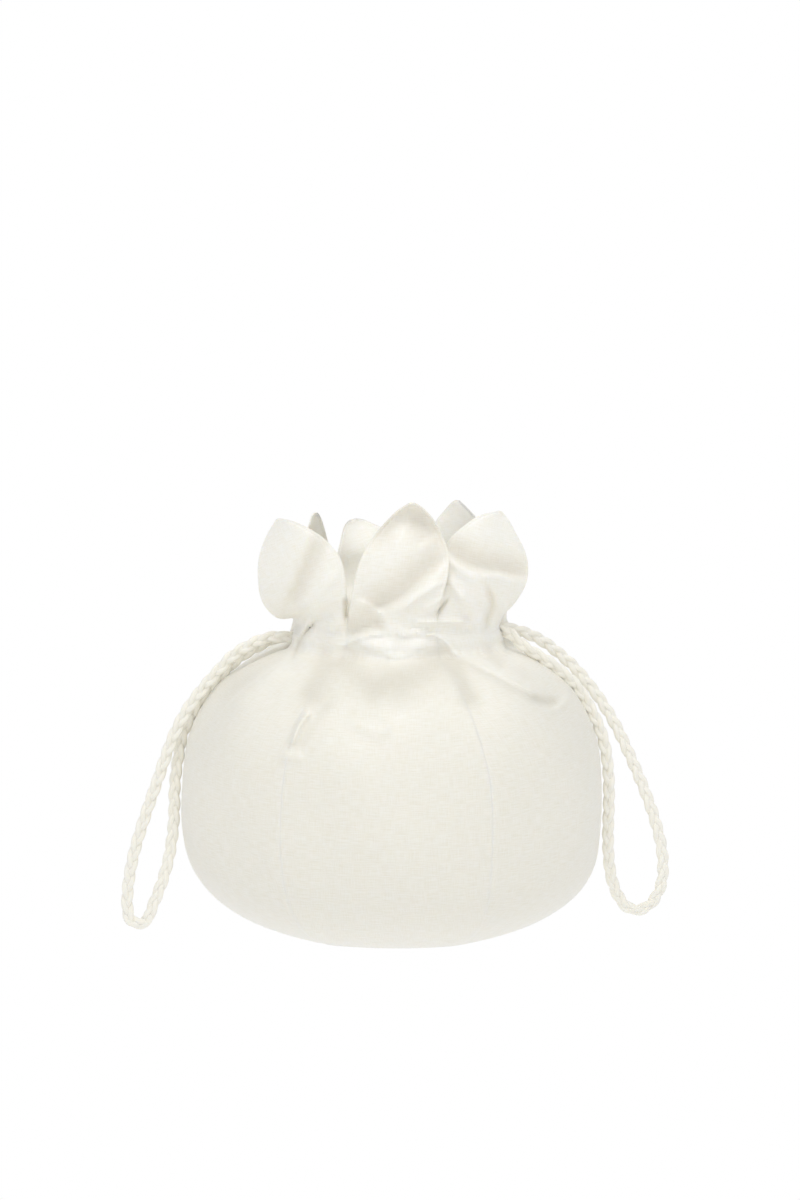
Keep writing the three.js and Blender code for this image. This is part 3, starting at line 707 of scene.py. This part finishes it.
def open_slits(gore, grid, body_rows):
    """Draws the cloth aside at a seam where a drawstring comes out."""
    for edge, seam in ((0, gore), (-1, gore + 1)):
        if seam not in SLITS:
            continue
        level = SLITS[seam]
        line = grid[:body_rows, edge].copy()
        aside = SLIT_HALF * np.maximum(0, 1 - ((line[:, 2] - level) / SLIT_REACH) ** 2)
        inward = grid[:body_rows, SLIT_COLUMN if edge == 0 else -1 - SLIT_COLUMN] - line
        inward /= np.linalg.norm(inward, axis=1)[:, None]
        away = np.linalg.norm(grid[:body_rows] - line[:, None], axis=2)
        share = np.clip(1 - away / SLIT_SPREAD, 0, 1) ** SLIT_FALL
        grid[:body_rows] += (aside[:, None] * share)[..., None] * inward[:, None]


def soften_joint(grid, joint):
    """Evens out the rows on both sides of the joint between the body and the petal."""
    near = smoothstep(np.abs(np.arange(len(grid)) - joint), *JOINT_FADE)[:, None, None]
    for _ in range(JOINT_PASSES):
        soft = grid.copy()
        soft[1:-1] = (grid[:-2] + 2 * grid[1:-1] + grid[2:]) / 4
        grid = mix(grid, soft, near)
    return grid


def front_heights(name, grid, joint):
    """Height of the drawn folds on a front gore; a petal's own folds stay in the petal."""
    pixels = to_photo(grid.reshape(-1, 3))
    petal_share = smoothstep(np.arange(len(grid))[:, None], joint - PETAL_BLEND, joint + PETAL_BLEND)
    drawn = petal_share * line_heights(pixels, PETAL_FOLDS[name]).reshape(grid.shape[:2])
    drawn = drawn + line_heights(pixels, NECK_FOLDS).reshape(grid.shape[:2])
    inside = np.ones(len(across_line))
    if name in OUTER_EDGES:
        outer = OUTER_EDGES[name]
        inside = smoothstep(across_line, outer, OUTER_FADE * outer)
    return drawn * mix(inside, 1, petal_share)


def clear_cords(points):
    """Moves the cloth of the neck out to where the drawstrings inside it are clear of it."""
    low, high = (smoothstep(points[..., 2], *fade) for fade in NECK_FADES)
    radius = np.hypot(points[..., 0] - NECK_SHIFT, points[..., 1])
    stretch = mix(1, np.maximum(1, NECK_CLEAR / np.maximum(radius, 1)), low * high)
    points[..., 0] = NECK_SHIFT + (points[..., 0] - NECK_SHIFT) * stretch
    points[..., 1] *= stretch


def gore_surface(gore):
    """Folded outer face of a gore and its petal, with the painted shade, lining and painted light of each
    point.
    """
    name = GORES[gore]
    front = name in PETAL_FOLDS
    depth = GATHER_DEPTH * (FRONT_GATHER if front else BACK_GATHER)
    body = body_surface(gore, across_line, level_rows, depth)
    petal = petal_surface(gore, across_line, petal_rows, depth)
    joint = len(body)
    grid = soften_joint(np.concatenate([body, petal]), joint)
    open_slits(gore, grid, joint)

    level = grid[..., 2]
    normal = grid_normals(grid)
    height = back_heights(grid.reshape(-1, 3)).reshape(grid.shape[:2])
    drawn = np.zeros(grid.shape[:2])
    if front:
        drawn = front_heights(name, grid, joint)
        height = height * smoothstep(grid[..., 1], *BACK_FADE)
    # painted shade: the colour is darkened in the valleys of the drawn and back folds, by their depth
    painted_shade = np.clip(-(height + drawn) / PAINTED_SHADE_DEPTH, 0, 1)
    height = height + puckers(grid) + slack(grid)

    left = np.linalg.norm(grid - grid[:, :1], axis=2)
    right = np.linalg.norm(grid - grid[:, -1:], axis=2)
    edge = np.minimum(left, right)
    rim = np.minimum(edge, np.linalg.norm(grid - grid[-1:, :], axis=2))
    on_body = smoothstep(np.arange(len(grid)), joint + 3, joint - 1)[:, None]
    sewn = smoothstep(level, *SEAM_FADE)
    seam = -SEAM_DEPTH * fold_profile(edge, SEAM_WIDTH) * sewn
    roll = -EDGE_ROLL * fold_profile(rim, ROLL_WIDTH)
    roll = roll - EDGE_GROOVE * fold_profile(rim - GROOVE_INSET, GROOVE_WIDTH)
    height = (height + seam * on_body) * smoothstep(level, *BASE_FADE) + roll * (1 - on_body)

    toward = camera_eye - grid
    toward /= np.linalg.norm(toward, axis=2, keepdims=True)
    facing = np.maximum(np.sum(normal * toward, axis=2), FACING_MIN)
    held = smoothstep(level, *HELD_FADE)
    drawn = drawn * mix(1, HELD_SHARE, held * (drawn < 0))
    moved = grid + normal * height[..., None] + toward * (drawn / facing)[..., None]
    clear_cords(moved)

    # painted shade: a thin darker line along each petal's rim
    painted_shade = np.maximum(painted_shade, RIM_PAINTED_SHADE * fold_profile(rim, RIM_WIDTH) * (1 - on_body))
    # whiter from the shoulder up, partly for the petals' lining and partly painted light, and a whiter line
    # on each seam, partly the doubled allowance and partly a painted highlight
    allowance_and_painted_highlight = SEAM_ALLOWANCE_AND_HIGHLIGHT * fold_profile(edge, SEAM_LINE) * sewn
    lined_and_painted_light = np.maximum(smoothstep(level, *LINED_AND_PAINTED_LIGHT_FADE), allowance_and_painted_highlight)
    return moved, {"painted_shade": painted_shade, "lined_and_painted_light": lined_and_painted_light}


def thicken(piece, thickness, offset):
    """Gives a piece a wall of cloth: inside its face for an offset of -1, outside it for 1."""
    bpy.ops.object.select_all(action="DESELECT")
    piece.select_set(True)
    bpy.context.view_layer.objects.active = piece
    wall = piece.modifiers.new("wall", "SOLIDIFY")
    wall.thickness = thickness * MM
    wall.offset = offset
    bpy.ops.object.modifier_apply(modifier=wall.name)


def make_gore(gore):
    """A gore and its petal as one wall of cloth, with its painted shade, lining and painted light kept at
    its points.
    """
    grid, shades = gore_surface(gore)
    rows, columns = grid.shape[:2]
    up = np.linalg.norm(np.diff(grid, axis=0), axis=2).mean(axis=1)
    run = np.concatenate([[0], np.cumsum(up)])[:, None]
    width = np.linalg.norm(np.diff(grid, axis=1), axis=2).sum(axis=1)[:, None] / 2
    uv = np.stack(np.broadcast_arrays(across_line * width + GORE_UV_STEP * gore, run), axis=-1) * MM
    name = f"satin_{GORES[gore]}"
    piece = new_piece(name, grid.reshape(-1, 3), grid_faces(rows, columns, False), uv.reshape(-1, 2))
    for shade, values in shades.items():
        piece.data.attributes.new(shade, "FLOAT", "POINT").data.foreach_set("value", values.ravel())
    thicken(piece, CLOTH, -1)
    bpy.ops.object.shade_smooth_by_angle(angle=EDGE_ANGLE)
    return piece


gores = [make_gore(gore) for gore in range(len(GORES))]
for gore in gores:
    print(gore.name, "has", len(gore.data.polygons), "faces")

# %% [markdown]
# The casing.
# Inside the neck a strip of satin is sewn to the gores along both of its edges, and the drawstrings
# run in the channel behind it. It is a closed band of cloth, drawn into small gathers by the cords.

# %% Sew the casing inside the neck
CASING_REACH = 38.2
CASING_RUFFLE = 0.6
CASING_CLOTH = 0.5
CASING_UV_RADIUS = 0.04
CASING_UV_HEIGHT = 0.03
CASING_FLOOR = 143.2
CASING_ROOF = 156.4
CASING_COLUMNS = 288
CASING_SECTION = [(0.0, 0.0), (0.35, 0.02), (0.75, 0.06), (0.95, 0.16), (1.0, 0.3), (1.0, 0.5),
                  (1.0, 0.7), (0.95, 0.84), (0.75, 0.94), (0.35, 0.98), (0.0, 1.0)]
# largest reach of the casing's lips, their distance from the gores, and the span in mm and in degrees
# over which the gores are measured
LIP_MOST = 52
LIP_SEAT = 0.35
LEVEL_SPAN = 1.3
TURN_SPAN = 1.6


def inner_radius(azimuth, level):
    """Reach of the casing's lip round the neck at a level, just inside the gores."""
    reach = np.full(len(azimuth), float(LIP_MOST))
    for gore in gores:
        points = np.zeros(len(gore.data.vertices) * 3)
        gore.data.vertices.foreach_get("co", points)
        points = points.reshape(-1, 3) / MM
        points = points[np.abs(points[:, 2] - level) < LEVEL_SPAN]
        turn = np.degrees(np.arctan2(points[:, 0] - NECK_SHIFT, -points[:, 1]))
        radius = np.hypot(points[:, 0] - NECK_SHIFT, points[:, 1])
        for i, azimuth_here in enumerate(azimuth):
            near = np.abs((turn - azimuth_here + 180) % 360 - 180) < TURN_SPAN
            if near.any():
                reach[i] = min(reach[i], radius[near].min())
    return reach - LIP_SEAT


def make_casing():
    """The casing as one closed band of cloth, from its lower lip round its channel to its upper lip."""
    azimuth = np.linspace(-180, 180, CASING_COLUMNS, endpoint=False)
    low = inner_radius(azimuth, CASING_FLOOR)
    high = inner_radius(azimuth, CASING_ROOF)
    angle = np.radians(azimuth)
    ruffle = 0.5 * np.sin(30 * angle + np.sin(5 * angle)) + 0.3 * np.sin(47 * angle + 1)
    rows = []
    for inward, up in CASING_SECTION:
        lip = mix(low, high, up)
        reach = mix(lip, CASING_REACH + CASING_RUFFLE * ruffle, inward)
        rows.append(polar(azimuth, reach, mix(CASING_FLOOR, CASING_ROOF, up), NECK_SHIFT))
    grid = np.stack(rows)
    run = np.linspace(0, CASING_UV_HEIGHT, len(rows))[:, None]
    uv = np.stack(np.broadcast_arrays(angle[None] * CASING_UV_RADIUS, run), axis=-1)
    faces = [tuple(reversed(face)) for face in grid_faces(len(rows), CASING_COLUMNS, True)]
    piece = new_piece("casing_strip", grid.reshape(-1, 3), faces, uv.reshape(-1, 2))
    thicken(piece, CASING_CLOTH, 1)
    return piece


casing = make_casing()
print(casing.name, "has", len(casing.data.polygons), "faces")

# %% [markdown]
# Ivory satin.
# Satin is a warp-faced silk weave: long floating threads give a soft gloss, and uneven filling
# threads, called slubs, show as short fine streaks. The colour is a warm white and a little
# translucent. It is whiter from the shoulder up, partly for the petals' lining and partly painted
# light, and whiter along the seams, partly their doubled cloth and partly a painted highlight.
# Painted shade makes it a deeper ivory in the valleys of the folds and along the petals' rims. Thread
# is a tenth of a millimetre thick, too fine to show, so the streaks are 0.4 mm wide and 7 mm long.
# They follow the UV map, which is in metres of flat cloth.

# %% Satin finish
SATIN_SINGLE_HEX = "F5F3EB"
# whiter colour from the shoulder up and on the seams: partly lining and doubled cloth, partly painted light
SATIN_LINED_AND_PAINTED_LIGHT_HEX = "FEFCF6"
WHITE_HEX = "FFFFFF"
STREAK_TINT_HEX = "F6F4EE"
# colour of the painted shade in the valleys of the folds and along the petals' rims
PAINTED_SHADE_HEX = "EDECE9"
SLUB_LENGTH = 0.007
SLUB_WIDTH = 0.0004
BRAID_HEX = "FDFBF3"
BRAID_SHADE_HEX = "F7F3E7"


def linear(hex_colour):
    """Linear colour of an sRGB hex value."""
    values = [int(hex_colour[i:i + 2], 16) / 255 for i in (0, 2, 4)]
    return [v / 12.92 if v <= 0.04045 else ((v + 0.055) / 1.055) ** 2.4 for v in values] + [1]


def add_node(owner, kind, settings=None, values=None, links=None):
    """Adds a node to a material or world, with its settings, socket values and incoming links."""
    node = owner.node_tree.nodes.new(kind)
    for key, value in (settings or {}).items():
        setattr(node, key, value)
    for key, value in (values or {}).items():
        node.inputs[key].default_value = value
    for key, source in (links or {}).items():
        owner.node_tree.links.new(source, node.inputs[key])
    return node


def start_material(name):
    """A named material with an empty node tree."""
    material = bpy.data.materials.new(name)
    material.use_nodes = True
    material.node_tree.nodes.clear()
    return material


def finish_material(material, surface):
    """Sends a shader's output socket to the material's surface."""
    add_node(material, "ShaderNodeOutputMaterial", links={"Surface": surface})


def slub_noise(scale):
    """Noise drawn out into streaks over the flat satin."""
    place = add_node(satin, "ShaderNodeMapping", values={"Scale": scale},
                     links={"Vector": cloth_place.outputs["UV"]})
    return add_node(satin, "ShaderNodeTexNoise", values={"Scale": 1.0, "Detail": 2.0, "Roughness": 0.6},
                    links={"Vector": place.outputs["Vector"]})


satin = start_material("ivory_silk_satin")
cloth_place = add_node(satin, "ShaderNodeUVMap", {"uv_map": "cloth"})
weft = slub_noise((1 / SLUB_LENGTH, 1 / SLUB_WIDTH, 1))
warp = slub_noise((1 / SLUB_WIDTH, 1 / SLUB_LENGTH, 1))
weave = add_node(satin, "ShaderNodeMix", {"data_type": "FLOAT"}, {"Factor": 0.4},
                 {"A": weft.outputs["Fac"], "B": warp.outputs["Fac"]})
streaks = add_node(satin, "ShaderNodeMapRange", values={"From Min": 0.36, "From Max": 0.6},
                   links={"Value": weave.outputs["Result"]})
# painted light: the colour is whiter from the shoulder up and along the seams, partly for the petals'
# lining and the seams' doubled cloth
lined_and_painted_light_part = add_node(satin, "ShaderNodeAttribute", {"attribute_name": "lined_and_painted_light"})
satin_colour = add_node(satin, "ShaderNodeMix", {"data_type": "RGBA"},
                        {"A": linear(SATIN_SINGLE_HEX), "B": linear(SATIN_LINED_AND_PAINTED_LIGHT_HEX)},
                        {"Factor": lined_and_painted_light_part.outputs["Fac"]})
streak_tint = add_node(satin, "ShaderNodeMix", {"data_type": "RGBA"},
                       {"A": linear(STREAK_TINT_HEX), "B": linear(WHITE_HEX)},
                       {"Factor": streaks.outputs["Result"]})
# painted shade: a darker ivory in the valleys of the folds and along the petals' rims
painted_shade_amount = add_node(satin, "ShaderNodeAttribute", {"attribute_name": "painted_shade"})
painted_shade_tint = add_node(satin, "ShaderNodeMix", {"data_type": "RGBA"},
                     {"A": linear(WHITE_HEX), "B": linear(PAINTED_SHADE_HEX)},
                     {"Factor": painted_shade_amount.outputs["Fac"]})
for tint in (streak_tint, painted_shade_tint):
    satin_colour = add_node(satin, "ShaderNodeMix", {"data_type": "RGBA", "blend_type": "MULTIPLY"},
                            {"Factor": 1.0},
                            {"A": satin_colour.outputs["Result"], "B": tint.outputs["Result"]})
satin_bump = add_node(satin, "ShaderNodeBump", values={"Strength": 0.4, "Distance": 0.0002},
                      links={"Height": weave.outputs["Result"]})
satin_shader = add_node(satin, "ShaderNodeBsdfPrincipled",
                        values={"Roughness": 0.4, "Sheen Weight": 0.1, "Sheen Roughness": 0.4,
                                "IOR": 1.54, "Specular IOR Level": 0.5,
                                "Subsurface Weight": 0.5, "Subsurface Scale": 0.0007,
                                "Subsurface Radius": (1.0, 0.9, 0.75)},
                        links={"Base Color": satin_colour.outputs["Result"],
                               "Normal": satin_bump.outputs["Normal"]})
finish_material(satin, satin_shader.outputs["BSDF"])
print("made", satin.name)

# %% [markdown]
# Satin strips.
# The plait is of the same satin, cut on the bias and folded, so fine lines in two shades of ivory run
# along each strip. They are half a millimetre wide and 6 mm long.

# %% Braid finish
FIBRE_WIDTH = 0.0005
FIBRE_LENGTH = 0.006

braid = start_material("ivory_plaited_satin")
strip_place = add_node(braid, "ShaderNodeUVMap", {"uv_map": "cloth"})
strip_scale = add_node(braid, "ShaderNodeMapping", values={"Scale": (1 / FIBRE_WIDTH, 1 / FIBRE_LENGTH, 1)},
                       links={"Vector": strip_place.outputs["UV"]})
fibres = add_node(braid, "ShaderNodeTexNoise", values={"Scale": 1.0, "Detail": 2.0},
                  links={"Vector": strip_scale.outputs["Vector"]})
braid_colour = add_node(braid, "ShaderNodeMix", {"data_type": "RGBA"},
                        {"A": linear(BRAID_SHADE_HEX), "B": linear(BRAID_HEX)},
                        {"Factor": fibres.outputs["Fac"]})
braid_bump = add_node(braid, "ShaderNodeBump", values={"Strength": 0.4, "Distance": 0.0003},
                      links={"Height": fibres.outputs["Fac"]})
braid_shader = add_node(braid, "ShaderNodeBsdfPrincipled",
                        values={"Roughness": 0.5, "Sheen Weight": 0.15, "Sheen Roughness": 0.4,
                                "Subsurface Weight": 0.2, "Subsurface Scale": 0.0006,
                                "Subsurface Radius": (1.0, 0.9, 0.75)},
                        links={"Base Color": braid_colour.outputs["Result"],
                               "Normal": braid_bump.outputs["Normal"]})
finish_material(braid, braid_shader.outputs["BSDF"])

for piece in gores + [casing]:
    piece.data.materials.append(satin)
for piece in braids.values():
    piece.data.materials.append(braid)
print("made", braid.name)

# %% [markdown]
# Floor and light.
# The photograph is a white studio shot with no visible shadow, on a background of pure white. The
# floor and the world show as full white but light the bag less than they show, so that the lamps can
# model the folds: a softbox above and in front, a weaker one straight ahead, a wide fill high on each
# side, and a lamp over the backdrop for the back of the bag.

# %% Floor, world and lamps
# strength with which the floor and the world light the bag; both show as 1
FLOOR_BOUNCE = 0.94
AMBIENT = 0.53

bpy.ops.object.select_all(action="DESELECT")
bpy.ops.mesh.primitive_circle_add(vertices=96, radius=6, fill_type="NGON", location=(0, 0, 0))
floor = bpy.context.object
floor.name = "floor"
floor_material = start_material("white_paper")
floor_rays = add_node(floor_material, "ShaderNodeLightPath")
floor_strength = add_node(floor_material, "ShaderNodeMapRange",
                          values={"To Min": FLOOR_BOUNCE, "To Max": 1.0},
                          links={"Value": floor_rays.outputs["Is Camera Ray"]})
floor_white = add_node(floor_material, "ShaderNodeEmission",
                       links={"Strength": floor_strength.outputs["Result"]})
finish_material(floor_material, floor_white.outputs["Emission"])
floor.data.materials.append(floor_material)

world = bpy.data.worlds.new("studio")
bpy.context.scene.world = world
world.use_nodes = True
world_rays = add_node(world, "ShaderNodeLightPath")
world_strength = add_node(world, "ShaderNodeMapRange", values={"To Min": AMBIENT, "To Max": 1.0},
                          links={"Value": world_rays.outputs["Is Camera Ray"]})
background = world.node_tree.nodes["Background"]
background.inputs["Color"].default_value = linear(WHITE_HEX)
world.node_tree.links.new(world_strength.outputs["Result"], background.inputs["Strength"])

# name, place in metres, width and height in metres, power in watts
LAMPS = [
    ("softbox_top", (-0.1, -0.9, 1.4), 0.8, 6.1),
    ("softbox_front", (0.1, -1.9, 0.45), 1.0, 3.0),
    ("fill_left", (-1.1, -0.3, 1.7), 1.2, 4.3),
    ("fill_right", (1.1, -0.3, 1.7), 1.2, 5.4),
    ("backdrop_glow", (0, 1.3, 1.5), 1.6, 6.0),
]
LAMP_AIM = np.array((0, 0, 0.13))
for name, place, size, power in LAMPS:
    bpy.ops.object.light_add(type="AREA", location=place)
    lamp = bpy.context.object
    lamp.name = name
    lamp.data.shape = "SQUARE"
    lamp.data.size = size
    lamp.data.energy = power
    aim = LAMP_AIM - np.array(place)
    pitch = math.atan2(math.hypot(aim[0], aim[1]), -aim[2])
    lamp.rotation_euler = (pitch, 0, math.atan2(-aim[0], aim[1]))

bpy.context.scene.view_settings.view_transform = "Standard"
bpy.context.scene.view_settings.look = "None"
print(len(LAMPS), "lamps and a white world")

# %% [markdown]
# What each piece is.
# Every piece rides on the bag's one body and stands for its CAD node, which is hidden.

for gore, name in zip(gores, GORES):
    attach(gore, "root")
    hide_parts(f"panel_{name}")
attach(casing, "root")
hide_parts("casing")
for side, piece in braids.items():
    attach(piece, "root")
    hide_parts(f"cord_{side}")
